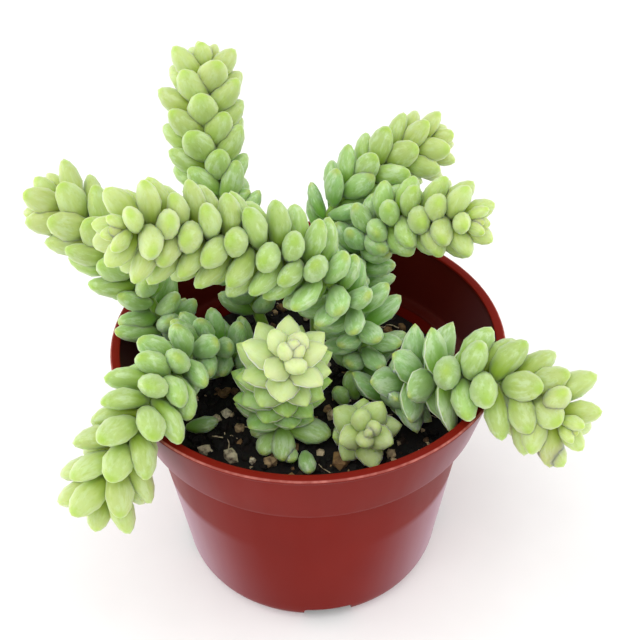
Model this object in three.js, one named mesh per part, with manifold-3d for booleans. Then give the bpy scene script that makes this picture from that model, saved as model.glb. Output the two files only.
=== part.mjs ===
// Potted burro's tail: an injection-moulded nursery pot, its soil, and nine leafy shoots
// that stand in the soil and arch over the rim.
// Millimetres, Z up. The origin is the centre of the pot's flat underside.
import * as THREE from 'three';
import { mergeVertices } from 'three/addons/utils/BufferGeometryUtils.js';
import Module from 'manifold-3d';

const wasm = await Module();
wasm.setup();

// Pot: a 108 mm pot with a tapering body and a wider band under its rim.
const potHeight = 79;
const rimRadius = 54;
const bandBottom = 59.7;
const bandFootRadius = 48.8;
const bodyTopRadius = 45.7;
const bodyFootRadius = 37.8;
const footRounding = 7.4;
const wall = 1.1;
const lipHeight = 1;
const lipWidth = 2.6;
const lipOverhang = 0.3;
const lipRounding = 0.4;
const potSides = 40;
const drainCount = 4;
const drainWidth = 14;
const drainHeight = 6.3;
const drainInnerRadius = 30.5;
const firstDrainDegrees = -83;

// Soil: it fills the pot to just under the inner ledge.
const soilTop = 56.5;
const soilShoulder = 9;
const soilMound = 1.6;
const soilLumps = 0.9;
const lumpLengthX = 39;
const lumpLengthY = 45;
const soilGap = 0.4;
const gritCount = 18;
const gritSize = 1.9;
const gritSink = 0.35;
const gritRise = 1.3;
const gritToStem = 6;
const gritToLeaf = 9;

// Shoots: a slim stem wrapped by plump leaves in a golden-angle spiral. A four-sided leaf is made
// a little wider than the round one that it stands for.
const goldenAngle = THREE.MathUtils.degToRad(137.508);
const stemRadius = 2;
const stemSides = 5;
const stemStep = 8;
const holeGap = 0.45;
const rootDepth = 10;
const leafSides = 4;
const leafPitch = 1.66;
const leafFullness = 1.18;
const leafThickness = 0.8;
const leafOutline = [[0, 0], [0.62, 0.36], [0.92, 0.72], [0, 1]];
const leafLift = 0.1;
const tipZone = 8;
const tipLeafScale = 0.5;
const tipPitchScale = 0.3;
const tipTilt = THREE.MathUtils.degToRad(15);
const clearance = 0.35;

// How a leaf gives way to a neighbour: closer to its stem's line, then shorter. It is tested by
// balls at parts of its length, each as big as a part of its width.
const leafBends = [1, 0.8, 0.6, 0.4];
const leafShortenings = [1, 0.85, 0.7];
const leafTestBalls = [[0.45, 0.42], [0.7, 0.42], [0.95, 0.04]];
const frameSteps = 300;

// Each shoot: how far up its first leaf grows, the size and lean of its leaves, and its stem line
// from where it leaves the soil to the growing tip.
const shoots = [
  {
    name: 'shoot_arch', color: 0xa9cc66, firstLeaf: 15, length: 14.4, width: 7.2, tilt: 76,
    line: [[14, 5], [15.5, 3, 72], [12.5, 0, 88], [4.5, -3, 100], [-5, -4, 109], [-17, -6, 114],
      [-28, -8, 119], [-36, -11.5, 123], [-42.5, -17.5, 127]],
  },
  {
    name: 'shoot_back_left', color: 0xb4d268, firstLeaf: 20, length: 14.2, width: 7.6, tilt: 60,
    line: [[-12, 20], [-17, 23, 76], [-21, 27, 96], [-26, 34, 109], [-28, 42, 123],
      [-27.5, 49.5, 135.5]],
  },
  {
    name: 'shoot_left', color: 0xb0cf82, firstLeaf: 20, length: 15, width: 6.9, tilt: 56,
    line: [[-33, 12], [-40, 11, 69], [-43, 9, 82], [-48, 10, 93], [-54.5, 13, 101.5], [-62, 17, 107.5],
      [-68.5, 19.5, 110.5]],
  },
  {
    name: 'shoot_back_right', color: 0xa8cc70, firstLeaf: 28, length: 13.2, width: 6.2, tilt: 62,
    line: [[2, 26], [2, 28, 80], [6, 30, 97], [13, 34, 104.5], [21, 38, 109], [29.5, 42, 111.5],
      [37, 44, 113]],
  },
  {
    name: 'shoot_right', color: 0xaccf6e, firstLeaf: 24, length: 13.2, width: 7, tilt: 66,
    line: [[12, 17], [13, 22, 78], [17, 23, 94], [25, 20, 103], [34, 15, 107], [43, 8, 110]],
  },
  {
    name: 'shoot_front_left', color: 0xb5d46c, firstLeaf: 18, length: 13.8, width: 7.2, tilt: 66,
    line: [[-15, 7], [-22, 3, 69], [-28, -6, 79], [-33, -19, 86], [-37, -30, 88], [-41, -38, 85.5],
      [-45.5, -43.5, 79.5], [-49.5, -46.5, 72], [-52, -47.5, 66]],
  },
  {
    name: 'shoot_centre', color: 0xbcd97e, firstLeaf: 12, length: 13.8, width: 9, tilt: 78,
    line: [[-8, -13], [-8, -14.5, 70], [-6.5, -18.5, 81.5], [-2.5, -23.5, 91]],
  },
  {
    name: 'shoot_small', color: 0xb2d574, firstLeaf: 13, length: 10.6, width: 7.6, tilt: 76,
    line: [[13, -17], [14, -21, 62], [14, -28, 69.5]],
  },
  {
    name: 'shoot_front_right', color: 0xaed06c, firstLeaf: 14, length: 14.6, width: 8.4, tilt: 70,
    line: [[20, -6], [25, -9, 67], [31, -15, 76], [38, -21, 82], [46, -26, 85], [53, -28.5, 83.5],
      [59.5, -31.5, 81], [63, -38, 81.5]],
  },
];

// Leaves that have dropped onto the soil: where each lies and how far it is turned.
const fallenLeaves = [
  { name: 'fallen_leaf_left', x: -29.6, y: -15.6, degrees: -80, length: 9.5 },
  { name: 'fallen_leaf_front', x: -1, y: -30, degrees: 190, length: 9 },
];
const fallenLeafSides = 8;
const fallenLeafPlumpness = 0.55;
const fallenLeafGap = 0.3;

// A closed three.js geometry as a solid that can be joined and cut.
function toSolid(geometry) {
  const bare = geometry.clone();
  bare.deleteAttribute('normal');
  bare.deleteAttribute('uv');
  const merged = mergeVertices(bare, 1e-5);
  return new wasm.Manifold(new wasm.Mesh({
    numProp: 3,
    vertProperties: Float32Array.from(merged.attributes.position.array),
    triVerts: Uint32Array.from(merged.index.array),
  }));
}

function toGeometry(solid) {
  const mesh = solid.getMesh();
  const geometry = new THREE.BufferGeometry();
  geometry.setAttribute('position', new THREE.BufferAttribute(mesh.vertProperties, 3));
  geometry.setIndex(new THREE.BufferAttribute(mesh.triVerts, 1));
  geometry.computeVertexNormals();
  return geometry;
}

function toMesh(name, solid, color, roughness) {
  const material = new THREE.MeshStandardMaterial({ color, roughness, metalness: 0 });
  const mesh = new THREE.Mesh(toGeometry(solid), material);
  mesh.name = name;
  return mesh;
}

// A turned solid about Z from [radius, height] points.
function turned(points, sides) {
  const profile = points.map(([radius, height]) => new THREE.Vector2(radius, height));
  return new THREE.LatheGeometry(profile, sides).rotateX(Math.PI / 2);
}

// Outer radius of the pot's body, and of its band above the step.
function bodyRadius(height) {
  return bodyFootRadius + (bodyTopRadius - bodyFootRadius) * height / bandBottom;
}

function bandRadius(height) {
  const rise = (height - bandBottom) / (potHeight - bandBottom);
  return bandFootRadius + (rimRadius - lipOverhang - bandFootRadius) * rise;
}

// The rounded foot, at a distance inside the outer face.
function footArc(inset) {
  const centreRadius = bodyRadius(footRounding) - footRounding;
  return [-90, -55, -20].map((degrees) => {
    const angle = THREE.MathUtils.degToRad(degrees);
    const reach = footRounding - inset;
    return [centreRadius + reach * Math.cos(angle), footRounding + reach * Math.sin(angle)];
  });
}

function makePot() {
  const lipFoot = potHeight - lipHeight;
  const ledge = bandBottom + wall;
  const outer = [
    [0, 0],
    ...footArc(0),
    [bodyTopRadius, bandBottom],
    [bandFootRadius, bandBottom],
    [bandRadius(lipFoot), lipFoot],
    [rimRadius, lipFoot + lipRounding],
    [rimRadius, potHeight - lipRounding],
    [rimRadius - lipRounding, potHeight],
    [rimRadius - lipWidth, potHeight],
    [rimRadius - lipWidth, lipFoot],
    [bandRadius(lipFoot) - wall, lipFoot],
    [bandRadius(ledge) - wall, ledge],
    [bodyTopRadius - wall, ledge],
    ...footArc(wall).reverse(),
    [0, wall],
  ];
  let pot = toSolid(turned(outer, potSides));
  for (let index = 0; index < drainCount; index += 1) {
    const angle = THREE.MathUtils.degToRad(firstDrainDegrees + index * 360 / drainCount);
    const notch = new THREE.BoxGeometry(bodyFootRadius, drainWidth, 2 * drainHeight);
    notch.translate(drainInnerRadius + bodyFootRadius / 2, 0, 0);
    notch.rotateZ(angle);
    pot = pot.subtract(toSolid(notch));
  }
  return pot;
}

// Height of the soil's uneven surface.
function soilHeight(x, y) {
  const mound = soilMound * (1 - (x * x + y * y) / (bodyTopRadius * bodyTopRadius));
  const waveX = Math.sin(2 * Math.PI * x / lumpLengthX + 1.1);
  const waveY = Math.cos(2 * Math.PI * y / lumpLengthY - 0.4);
  return soilTop + mound + soilLumps * waveX * waveY;
}

function stemCurve(shoot, extraDepth = 0) {
  const [[x, y], ...rest] = shoot.line;
  const level = soilHeight(x, y);
  const points = [
    new THREE.Vector3(x, y, level - rootDepth - extraDepth),
    new THREE.Vector3(x, y, level),
    ...rest.map(([px, py, pz]) => new THREE.Vector3(px, py, pz)),
  ];
  return new THREE.CatmullRomCurve3(points, false, 'catmullrom', 0.5);
}

function stemTube(curve, radius) {
  const corners = [];
  for (let index = 0; index < stemSides; index += 1) {
    const angle = index * 2 * Math.PI / stemSides;
    corners.push(new THREE.Vector2(radius * Math.cos(angle), radius * Math.sin(angle)));
  }
  return new THREE.ExtrudeGeometry(new THREE.Shape(corners), {
    steps: Math.max(3, Math.round(curve.getLength() / stemStep)),
    extrudePath: curve,
  });
}

function makeSoil() {
  const topRings = [0.9, 0.68, 0.46, 0.24];
  const inset = wall + soilGap;
  const edge = bodyRadius(soilTop) - inset;
  const profile = [
    [0, inset],
    [drainInnerRadius - soilGap, inset],
    [bodyRadius(soilShoulder) - inset, soilShoulder],
    [edge, soilTop],
    ...topRings.map((part) => [edge * part, soilTop]),
    [0, soilTop],
  ];
  const body = turned(profile, potSides);
  const position = body.attributes.position;
  for (let index = 0; index < position.count; index += 1) {
    const x = position.getX(index);
    const y = position.getY(index);
    if (position.getZ(index) > soilTop - 0.01) position.setZ(index, soilHeight(x, y));
  }
  let soil = toSolid(body);
  for (const grit of gritStones(edge)) soil = soil.add(toSolid(grit));
  for (const shoot of shoots) {
    soil = soil.subtract(toSolid(stemTube(stemCurve(shoot, holeGap), stemRadius + holeGap)));
  }
  return soil;
}

// Small stones half sunk in the surface, spread by the golden angle and clear of the stems.
function gritStones(edge) {
  const stones = [];
  for (let index = 1; index <= gritCount; index += 1) {
    const reach = (edge - 4) * Math.sqrt(index / gritCount);
    const x = reach * Math.cos(index * goldenAngle + 0.6);
    const y = reach * Math.sin(index * goldenAngle + 0.6);
    const nearStem = shoots.some(({ line }) => (
      Math.hypot(line[0][0] - x, line[0][1] - y) < gritToStem
    ));
    const nearLeaf = fallenLeaves.some((leaf) => Math.hypot(leaf.x - x, leaf.y - y) < gritToLeaf);
    if (nearStem || nearLeaf) continue;
    const size = gritSize * (0.7 + 0.3 * Math.sin(index * goldenAngle));
    const stone = new THREE.IcosahedronGeometry(size, 0);
    stone.scale(1, 0.8, 0.75);
    stone.rotateZ(index * goldenAngle);
    stone.translate(x, y, soilHeight(x, y) - size * gritSink);
    stones.push(stone);
  }
  return stones;
}

// One plump leaf along +Y with its root at the origin and its upper face towards +Z.
function leafGeometry(length, width, sides = leafSides) {
  const geometry = turnedLeaf(width / 2, length, sides);
  const position = geometry.attributes.position;
  for (let index = 0; index < position.count; index += 1) {
    const along = position.getY(index);
    const lift = leafLift * along * along / length;
    position.setZ(index, position.getZ(index) * leafThickness + lift);
  }
  return geometry;
}

function turnedLeaf(radius, length, sides) {
  const profile = leafOutline.map(([across, along]) => (
    new THREE.Vector2(across * radius, along * length)
  ));
  return new THREE.LatheGeometry(profile, sides);
}

function makeFallenLeaf({ x, y, degrees, length }) {
  const width = fallenLeafPlumpness * length;
  const leaf = leafGeometry(length, width, fallenLeafSides);
  leaf.translate(0, -length / 2, 0);
  leaf.rotateZ(THREE.MathUtils.degToRad(degrees));
  const belly = width / 2 * leafThickness - leafLift * length / 2;
  leaf.translate(x, y, soilHeight(x, y) + belly + fallenLeafGap);
  return toSolid(leaf);
}

function leafMatrix(spot, tilt) {
  const along = spot.tangent.clone().multiplyScalar(Math.cos(tilt));
  along.addScaledVector(spot.outward, Math.sin(tilt));
  const upper = spot.tangent.clone().multiplyScalar(Math.sin(tilt));
  upper.addScaledVector(spot.outward, -Math.cos(tilt));
  const side = along.clone().cross(upper);
  return new THREE.Matrix4().makeBasis(side, along, upper).setPosition(spot.point);
}

// Stem lines as points, for measuring how near a leaf comes to its neighbours.
function lineSamples(curve) {
  return curve.getSpacedPoints(Math.round(curve.getLength() / 2));
}

function nearest(point, samples) {
  return Math.sqrt(Math.min(...samples.map((sample) => sample.distanceToSquared(point))));
}

// True when a ball at the point is clear of the pot, the soil and the other shoots.
function isFree(point, radius, own, others) {
  const reach = Math.hypot(point.x, point.y);
  const gap = radius + clearance;
  if (point.z < potHeight + gap) {
    const shell = point.z > bandBottom - gap ? bandRadius(point.z) : bodyRadius(point.z);
    const edge = point.z > potHeight - lipHeight - gap ? rimRadius - lipWidth : shell - wall;
    const inside = reach < edge - gap;
    const outside = reach > shell + lipOverhang + gap;
    if (!inside && !outside) return false;
    if (inside && point.z < soilHeight(point.x, point.y) + gap + gritRise) return false;
    if (inside && point.z < bandBottom + wall + gap && reach > bodyTopRadius - wall - gap) return false;
  }
  const ownGap = nearest(point, own);
  return others.every((samples) => nearest(point, samples) - ownGap > 2 * gap);
}

// A leaf that would meet a neighbour is bent towards its own tip, then shortened, then left out.
function placeLeaf(spot, shoot, size, tilt, own, others) {
  for (const shorten of leafShortenings) {
    for (const bend of leafBends) {
      const length = shoot.length * size * shorten;
      const width = shoot.width * leafFullness * size * shorten;
      const matrix = leafMatrix(spot, tilt * bend);
      const free = leafTestBalls.every(([part, bulge]) => {
        const point = new THREE.Vector3(0, part * length, leafLift * part * part * length);
        return isFree(point.applyMatrix4(matrix), bulge * width, own, others);
      });
      if (free) return leafGeometry(length, width).applyMatrix4(matrix);
    }
  }
  return null;
}

function makeShoot(shoot, curve, own, others) {
  let body = toSolid(stemTube(curve, stemRadius));
  const total = curve.getLength();
  const frames = curve.computeFrenetFrames(frameSteps);
  let along = shoot.firstLeaf;
  let index = 0;
  while (along < total) {
    const part = along / total;
    const nearTip = Math.max(0, 1 - (total - along) / tipZone) ** 2;
    const step = Math.min(frameSteps, Math.round(part * frameSteps));
    const angle = index * goldenAngle;
    const spot = {
      point: curve.getPointAt(part),
      tangent: frames.tangents[step],
      outward: frames.normals[step].clone().multiplyScalar(Math.cos(angle))
        .addScaledVector(frames.binormals[step], Math.sin(angle)),
    };
    const size = THREE.MathUtils.lerp(1, tipLeafScale, nearTip);
    const tilt = THREE.MathUtils.lerp(THREE.MathUtils.degToRad(shoot.tilt), tipTilt, nearTip);
    const leaf = placeLeaf(spot, shoot, size, tilt, own, others);
    if (leaf) body = body.add(toSolid(leaf));
    along += leafPitch * THREE.MathUtils.lerp(1, tipPitchScale, nearTip);
    index += 1;
  }
  return body;
}

const pottedPlant = new THREE.Group();
const curves = shoots.map((shoot) => stemCurve(shoot));
const samples = curves.map(lineSamples);

pottedPlant.add(toMesh('pot', makePot(), 0x8a3530, 0.45));
pottedPlant.add(toMesh('soil', makeSoil(), 0x2a1d16, 0.95));
shoots.forEach((shoot, index) => {
  const others = samples.filter((_, other) => other !== index);
  const body = makeShoot(shoot, curves[index], samples[index], others);
  pottedPlant.add(toMesh(shoot.name, body, shoot.color, 0.5));
});
for (const leaf of fallenLeaves) {
  pottedPlant.add(toMesh(leaf.name, makeFallenLeaf(leaf), 0x6f8f4a, 0.6));
}

export default pottedPlant;
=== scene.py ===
import math
import random

import bmesh
import bpy
from mathutils import Matrix, Vector, noise


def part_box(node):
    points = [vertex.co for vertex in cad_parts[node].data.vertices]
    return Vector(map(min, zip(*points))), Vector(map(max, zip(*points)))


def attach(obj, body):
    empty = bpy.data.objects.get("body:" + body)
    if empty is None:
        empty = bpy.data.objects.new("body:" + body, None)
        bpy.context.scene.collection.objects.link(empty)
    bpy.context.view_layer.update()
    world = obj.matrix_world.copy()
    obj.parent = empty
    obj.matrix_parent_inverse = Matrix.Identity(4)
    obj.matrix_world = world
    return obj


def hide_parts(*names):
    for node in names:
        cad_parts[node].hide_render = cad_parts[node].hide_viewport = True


# Potted burro's tail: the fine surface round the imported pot, soil and shoots.
# Metres, Z up, the origin under the middle of the pot.
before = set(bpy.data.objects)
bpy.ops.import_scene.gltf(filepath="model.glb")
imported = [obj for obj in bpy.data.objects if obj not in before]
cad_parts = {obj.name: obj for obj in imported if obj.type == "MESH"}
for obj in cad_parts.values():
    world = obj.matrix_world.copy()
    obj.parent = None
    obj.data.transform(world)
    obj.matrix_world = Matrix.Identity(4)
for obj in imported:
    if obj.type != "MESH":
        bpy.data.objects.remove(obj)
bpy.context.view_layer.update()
mm = 0.001
goldenAngle = math.radians(137.508)


def linearColour(hexCode):
    parts = [int(hexCode[i:i + 2], 16) / 255 for i in (1, 3, 5)]
    return tuple(p / 12.92 if p <= 0.04045 else ((p + 0.055) / 1.055) ** 2.4 for p in parts) + (1.0,)


def addNode(tree, kind, settings=None, inputs=None):
    node = tree.nodes.new(kind)
    for name, value in (settings or {}).items():
        setattr(node, name, value)
    for name, value in (inputs or {}).items():
        if isinstance(value, bpy.types.NodeSocket):
            tree.links.new(value, node.inputs[name])
        else:
            node.inputs[name].default_value = value
    return node


def newMaterial(name):
    material = bpy.data.materials.new(name)
    material.use_nodes = True
    material.node_tree.nodes.clear()
    return material, material.node_tree


def objectPlace(tree):
    return addNode(tree, "ShaderNodeTexCoord").outputs["Object"]


def readAttribute(tree, name):
    return addNode(tree, "ShaderNodeAttribute", {"attribute_name": name}).outputs["Fac"]


def makeNoise(tree, place, scale, detail=2.0, roughness=0.5):
    return addNode(tree, "ShaderNodeTexNoise", inputs={
        "Vector": place, "Scale": scale, "Detail": detail, "Roughness": roughness}).outputs["Fac"]


def calculate(tree, operation, *values):
    node = addNode(tree, "ShaderNodeMath", {"operation": operation}, dict(enumerate(values)))
    return node.outputs["Value"]


def mapRange(tree, value, start, end, low=0.0, high=1.0, kind="LINEAR"):
    return addNode(tree, "ShaderNodeMapRange", {"interpolation_type": kind}, {
        "Value": value, "From Min": start, "From Max": end, "To Min": low, "To Max": high,
    }).outputs["Result"]


def smoothRange(tree, value, start, end, high=1.0):
    return mapRange(tree, value, start, end, 0.0, high, "SMOOTHSTEP")


# stops are places with a colour, or with a level of grey
def colourRamp(tree, value, stops):
    node = addNode(tree, "ShaderNodeValToRGB", inputs={"Fac": value})
    elements = node.color_ramp.elements
    while len(elements) > 1:
        elements.remove(elements[-1])
    for number, (place, colour) in enumerate(stops):
        element = elements[0] if number == 0 else elements.new(place)
        element.position = place
        element.color = linearColour(colour) if isinstance(colour, str) else (colour,) * 3 + (1.0,)
    return node.outputs["Color"]


def mixColours(tree, factor, base, top):
    if isinstance(top, str):
        top = linearColour(top)
    return addNode(tree, "ShaderNodeMix", {"data_type": "RGBA"}, {
        "Factor": factor, "A": base, "B": top}).outputs["Result"]


def makeRelief(tree, height, strength, distance):
    return addNode(tree, "ShaderNodeBump", inputs={
        "Height": height, "Strength": strength, "Distance": distance}).outputs["Normal"]


def finishMaterial(tree, inputs):
    shader = addNode(tree, "ShaderNodeBsdfPrincipled", inputs=inputs)
    addNode(tree, "ShaderNodeOutputMaterial", inputs={"Surface": shader.outputs["BSDF"]})


def deselectAll():
    if bpy.context.object and bpy.context.object.mode != "OBJECT":
        bpy.ops.object.mode_set(mode="OBJECT")
    bpy.ops.object.select_all(action="DESELECT")


def makeActive(piece):
    deselectAll()
    piece.select_set(True)
    bpy.context.view_layer.objects.active = piece


def selectPoints(piece, wanted):
    mesh = bmesh.from_edit_mesh(piece.data)
    for point in mesh.verts:
        point.select = wanted(point.co)
    mesh.select_flush(True)
    mesh.select_flush(False)
    bmesh.update_edit_mesh(piece.data)


def applyModifiers(piece):
    makeActive(piece)
    for modifier in list(piece.modifiers):
        bpy.ops.object.modifier_apply(modifier=modifier.name)


def applyPlace(piece):
    makeActive(piece)
    bpy.ops.object.transform_apply(location=True, rotation=True, scale=True)


# a surface turned about Z through rings given by radius and height; it stays in edit mode, with the last
# ring's disc selected
def turnRings(name, sides, rings):
    radius, height = rings[0]
    deselectAll()
    bpy.ops.mesh.primitive_circle_add(vertices=sides, radius=radius, fill_type="NGON",
                                      location=(0, 0, height))
    piece = bpy.context.object
    piece.name = name
    bpy.ops.object.transform_apply(location=True, rotation=False, scale=False)
    bpy.ops.object.mode_set(mode="EDIT")
    bpy.ops.mesh.select_all(action="SELECT")
    for nextRadius, nextHeight in rings[1:]:
        bpy.ops.mesh.extrude_region_move(TRANSFORM_OT_translate={"value": (0, 0, nextHeight - height)})
        bpy.ops.transform.resize(value=(nextRadius / radius, nextRadius / radius, 1),
                                 center_override=(0, 0, nextHeight))
        radius, height = nextRadius, nextHeight
    return piece


# a round thread through the points, each with its own share of the radius
def makeThread(name, points, radius, shares, resolution):
    curve = bpy.data.curves.new(name, "CURVE")
    curve.dimensions = "3D"
    curve.bevel_depth = radius
    curve.bevel_resolution = resolution
    curve.use_fill_caps = True
    spline = curve.splines.new("POLY")
    spline.points.add(len(points) - 1)
    for knot, point, share in zip(spline.points, points, shares):
        knot.co = (*point, 1)
        knot.radius = share
    thread = bpy.data.objects.new(name, curve)
    bpy.context.collection.objects.link(thread)
    makeActive(thread)
    bpy.ops.object.convert(target="MESH")
    return bpy.context.object


def pieceName(node):
    first, *others = node.split("_")
    return first + "".join(word.capitalize() for word in others)


def joinAll(name, parts):
    deselectAll()
    for part in parts:
        part.select_set(True)
    bpy.context.view_layer.objects.active = parts[0]
    bpy.ops.object.transform_apply(location=True, rotation=True, scale=True)
    bpy.ops.object.join()
    joined = bpy.context.object
    joined.name = name
    joined.data.name = name
    return joined


def smoothStep(low, high, value):
    t = min(1.0, max(0.0, (value - low) / (high - low)))
    return t * t * (3 - 2 * t)


def mix(a, b, t):
    return a + (b - a) * t


cameraView = {
    "target": (3.3 * mm, 0.0, 83.9 * mm),
    "distance": 299.4 * mm,
    "elevation": math.radians(40.1),
    "roll": -0.013,
    "lens": 61.9,
    "nearest": 10 * mm,
}


def makeCamera(view):
    tilt = view["elevation"]
    back = Vector((0, -math.cos(tilt), math.sin(tilt)))
    right = Vector((1, 0, 0))
    up = back.cross(right)
    turn = Matrix.Rotation(view["roll"], 3, back)
    right = turn @ right
    up = turn @ up
    camera = bpy.data.cameras.new("camera")
    camera.lens = view["lens"]
    camera.clip_start = view["nearest"]
    holder = bpy.data.objects.new("camera", camera)
    bpy.context.collection.objects.link(holder)
    place = Matrix((right, up, back)).transposed().to_4x4()
    place.translation = Vector(view["target"]) + view["distance"] * back
    holder.matrix_world = place
    bpy.context.scene.camera = holder
    return holder


makeCamera(cameraView)
print("camera placed")


pot = {
    "height": 79 * mm,
    "rimRadius": 54 * mm,
    "bandBottom": 59.7 * mm,
    "bandFootRadius": 48.8 * mm,
    "bodyTopRadius": 45.7 * mm,
    "bodyFootRadius": 37.8 * mm,
    "footRounding": 7.4 * mm,
    "footArcEnds": (-90, -7),  # degrees
    "wall": 1.1 * mm,
    "lipHeight": 1.0 * mm,
    "lipWidth": 2.6 * mm,
    "lipOverhang": 0.3 * mm,
    "steady": 1.2 * mm,
    "sides": 128,
    "drains": 4,
    "drainWidth": 14 * mm,
    "drainHeight": 6.3 * mm,
    "drainInner": 30.5 * mm,
    "drainRounding": 0.9 * mm,
    "firstDrain": math.radians(-83),
    "sharpFrom": math.radians(40),
}


def bodyRadius(height):
    return mix(pot["bodyFootRadius"], pot["bodyTopRadius"], height / pot["bandBottom"])


def bandRadius(height):
    rise = (height - pot["bandBottom"]) / (pot["height"] - pot["bandBottom"])
    return mix(pot["bandFootRadius"], pot["rimRadius"] - pot["lipOverhang"], rise)


def footArc(inset, steps):
    rounding = pot["footRounding"]
    centre = bodyRadius(rounding) - rounding
    reach = rounding - inset
    arc = []
    for step in range(steps):
        angle = math.radians(mix(*pot["footArcEnds"], step / (steps - 1)))
        arc.append((centre + reach * math.cos(angle), rounding + reach * math.sin(angle)))
    return arc


# the wall's section from under the foot, over the lip and back inside; a ring either side of each long
# straight stretch keeps its shading flat
def potProfile():
    wall = pot["wall"]
    top = pot["height"]
    lipFoot = top - pot["lipHeight"]
    step = pot["bandBottom"]
    ledge = step + wall
    foot = pot["footRounding"]
    steady = pot["steady"]
    lipInner = pot["rimRadius"] - pot["lipWidth"]
    soft = 0.35 * mm
    outside = footArc(0, 9) + [
        (bodyRadius(foot + steady), foot + steady),
        (bodyRadius(step - steady), step - steady),
        (pot["bodyTopRadius"] - 0.08 * mm, step - 2 * soft),
        (pot["bodyTopRadius"] + 0.05 * mm, step - soft),
        (pot["bodyTopRadius"] + soft, step),
        (pot["bandFootRadius"] - soft, step),
        (pot["bandFootRadius"] - 0.05 * mm, step + 0.1 * mm),
        (pot["bandFootRadius"] + 0.08 * mm, step + soft),
        (bandRadius(step + steady), step + steady),
        (bandRadius(lipFoot - steady), lipFoot - steady),
        (bandRadius(lipFoot - 0.3 * mm), lipFoot - 0.3 * mm),
        (pot["rimRadius"] - 0.15 * mm, lipFoot + 0.05 * mm),
        (pot["rimRadius"], lipFoot + 0.25 * mm),
        (pot["rimRadius"], top - 0.4 * mm),
        (pot["rimRadius"] - 0.12 * mm, top - 0.1 * mm),
        (pot["rimRadius"] - 0.4 * mm, top),
    ]
    inside = [
        (lipInner + 0.4 * mm, top - 0.02 * mm),
        (lipInner + 0.1 * mm, top - 0.15 * mm),
        (lipInner, top - 0.4 * mm),
        (lipInner + 0.1 * mm, lipFoot + 0.1 * mm),
        (bandRadius(lipFoot - 0.3 * mm) - wall, lipFoot - 0.3 * mm),
        (bandRadius(lipFoot - steady) - wall, lipFoot - steady),
        (bandRadius(ledge + steady) - wall, ledge + steady),
        (bandRadius(ledge + soft) - wall, ledge + soft),
        (bandRadius(ledge) - wall - soft, ledge),
        (pot["bodyTopRadius"] - wall + soft, ledge),
        (pot["bodyTopRadius"] - wall, ledge - soft),
        (bodyRadius(step - steady) - wall, step - steady),
    ] + footArc(wall, 6)[::-1]
    return outside + inside


def makePot():
    piece = turnRings("nurseryPot", pot["sides"], potProfile())
    bpy.ops.mesh.select_all(action="SELECT")
    bpy.ops.mesh.remove_doubles(threshold=0.002 * mm)
    bpy.ops.mesh.normals_make_consistent(inside=False)
    bpy.ops.object.mode_set(mode="OBJECT")
    for number in range(pot["drains"]):
        cutDrain(piece, pot["firstDrain"] + number * 2 * math.pi / pot["drains"])
    makeActive(piece)
    bpy.ops.object.shade_smooth_by_angle(angle=pot["sharpFrom"])
    return piece


def cutDrain(piece, angle):
    length = pot["bodyFootRadius"]
    middle = pot["drainInner"] + length / 2
    deselectAll()
    place = (middle * math.cos(angle), middle * math.sin(angle), 0)
    bpy.ops.mesh.primitive_cube_add(size=1, location=place, rotation=(0, 0, angle))
    cutter = bpy.context.object
    cutter.scale = (length, pot["drainWidth"], 2 * pot["drainHeight"])
    applyPlace(cutter)
    bpy.ops.object.mode_set(mode="EDIT")
    bpy.ops.mesh.select_all(action="SELECT")
    bpy.ops.mesh.bevel(offset=pot["drainRounding"], segments=4, affect="EDGES")
    bpy.ops.object.mode_set(mode="OBJECT")
    cut = piece.modifiers.new("drain", "BOOLEAN")
    cut.operation = "DIFFERENCE"
    cut.solver = "EXACT"
    cut.object = cutter
    applyModifiers(piece)
    bpy.data.objects.remove(cutter)


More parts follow.
